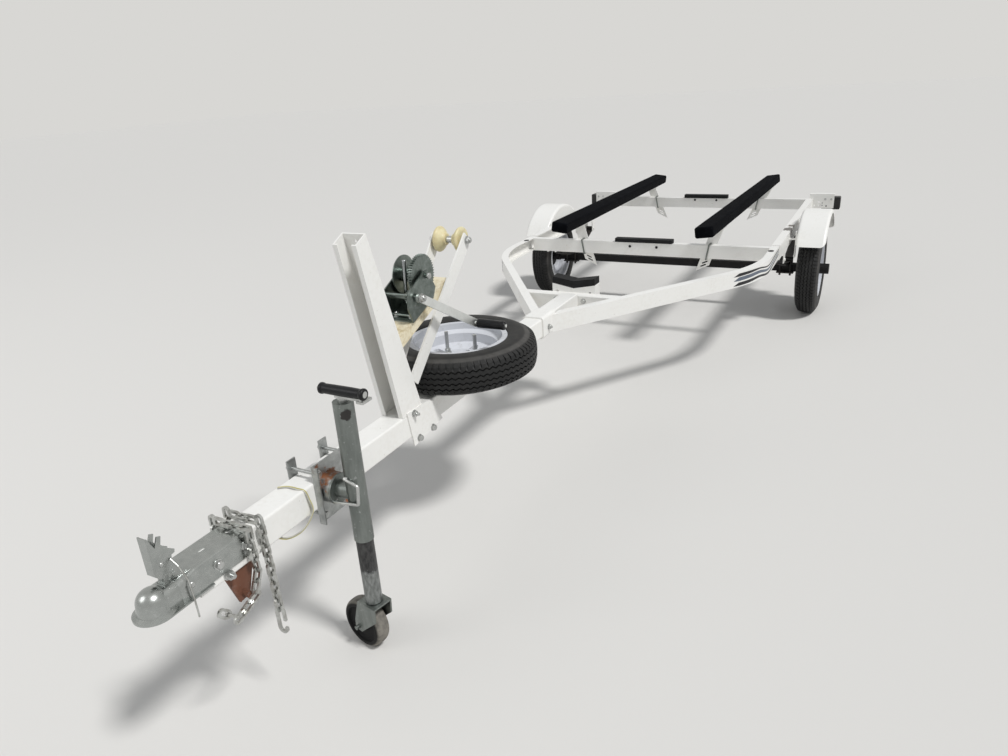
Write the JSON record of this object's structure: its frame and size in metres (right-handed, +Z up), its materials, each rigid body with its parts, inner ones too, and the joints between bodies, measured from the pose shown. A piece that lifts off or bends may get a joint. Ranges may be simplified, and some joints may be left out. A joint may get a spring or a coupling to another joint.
{
  "type": "boat trailer",
  "caption": "Single-axle boat trailer with a square tongue, a side jack on a caster, a tapered winch post with a bow roller, leaning carpeted bunks, a spare wheel and round fenders.",
  "frame": {"origin": "on the ground, under the middle of the trailer's length and width", "axes": "+X to port, +Y from the coupler to the rear, +Z up"},
  "size_m": [1.858, 5.1008, 1.0745],
  "materials": {
    "black_paint": "satin",
    "black_rubber": "matte",
    "carpet": "matte",
    "caster_rubber": "matte",
    "cream_paint": "satin",
    "greased_steel": "satin",
    "grip_plastic": "satin",
    "lamp_plastic": "gloss",
    "spring_steel": "matte",
    "tyre": "matte",
    "wheel_silver": "gloss",
    "white_paint": "gloss",
    "winch_zinc": "satin",
    "wire_plastic": "satin",
    "yellowed_plastic": "matte",
    "zinc": "satin"
  },
  "bodies": {
    "frame": {"axle": "black_paint", "bunk_bolts": "spring_steel", "bunk_brackets": "white_paint", "bunk_port": "carpet", "bunk_starboard": "carpet", "centre_pads": "black_rubber", "chain_bracket": "white_paint", "chain_low": "zinc", "chain_port": "zinc", "coupler_body": "zinc", "coupler_latch": "zinc", "crossmember_angle": "white_paint", "crossmember_front": "white_paint", "crossmember_rear": "white_paint", "fender_brackets": "white_paint", "fender_port": "white_paint", "fender_starboard": "white_paint", "jack_bracket": "zinc", "jack_clamp": "zinc", "jack_crank": "zinc", "jack_grip": "grip_plastic", "jack_leg": "zinc", "keel_bracket": "white_paint", "keel_pad": "black_rubber", "lamp_brackets": "white_paint", "lamps": "lamp_plastic", "latch_chain": "zinc", "post_feet": "white_paint", "rails_front": "white_paint", "rails_rear": "white_paint", "rim_spare": "wheel_silver", "roller_arms": "white_paint", "roller_bolt": "zinc", "spare_carrier": "zinc", "spring_clamps": "spring_steel", "spring_hangers": "white_paint", "springs": "spring_steel", "tongue_sleeve": "white_paint", "tongue_tube": "white_paint", "tyre_spare": "tyre", "winch_bracket": "cream_paint", "winch_frame": "winch_zinc", "winch_post": "white_paint", "wiring_loop": "wire_plastic"},
    "wheel_port": {"tyre_port": "tyre", "rim_port": "wheel_silver", "hub_port": "black_paint"},
    "wheel_starboard": {"tyre_starboard": "tyre", "rim_starboard": "wheel_silver", "hub_starboard": "black_paint"},
    "jack_tube": {"jack_inner": "greased_steel"},
    "caster_fork": {"jack_fork": "zinc"},
    "caster_wheel": {"jack_wheel": "caster_rubber"},
    "roller": {"bow_roller": "yellowed_plastic"},
    "drum": {"winch_drum": "winch_zinc"},
    "crank": {"winch_pinion": "winch_zinc", "winch_crank": "zinc", "winch_grip": "grip_plastic"}
  },
  "joints": [
    {"name": "wheel_port_spin", "type": "hinge", "parent": "frame", "child": "wheel_port", "pos_m": [0.831, 1.395, 0.262], "axis": [1, 0, 0], "continuous": true},
    {"name": "wheel_starboard_spin", "type": "hinge", "parent": "frame", "child": "wheel_starboard", "pos_m": [-0.831, 1.395, 0.262], "axis": [1, 0, 0], "continuous": true},
    {"name": "jack_slide", "type": "slide", "parent": "frame", "child": "jack_tube", "axis": [0, 0, 1], "range_m": [-0.05, 0.185]},
    {"name": "jack_swivel", "type": "hinge", "parent": "jack_tube", "child": "caster_fork", "pos_m": [0.132, -2.007, 0.16], "axis": [0, 0, 1], "continuous": true},
    {"name": "jack_wheel_spin", "type": "hinge", "parent": "caster_fork", "child": "caster_wheel", "pos_m": [0.08798, -1.99764, 0.0715], "axis": [0.2079, 0.9781, 0], "continuous": true},
    {"name": "bow_roller_spin", "type": "hinge", "parent": "frame", "child": "roller", "pos_m": [0, -1.2562, 0.9598], "axis": [1, 0, 0], "continuous": true},
    {"name": "winch_drum_turn", "type": "hinge", "parent": "frame", "child": "drum", "pos_m": [0, -1.478, 0.902], "axis": [1, 0, 0], "range_deg": [-93.75, 2.81]},
    {"name": "winch_crank_turn", "type": "hinge", "parent": "frame", "child": "crank", "pos_m": [0, -1.53932, 0.85259], "axis": [1, 0, 0], "range_deg": [-9, 300]}
  ],
  "couplings": [
    {"joint": "winch_crank_turn", "follows": "winch_drum_turn", "ratio": -3.2}
  ]
}
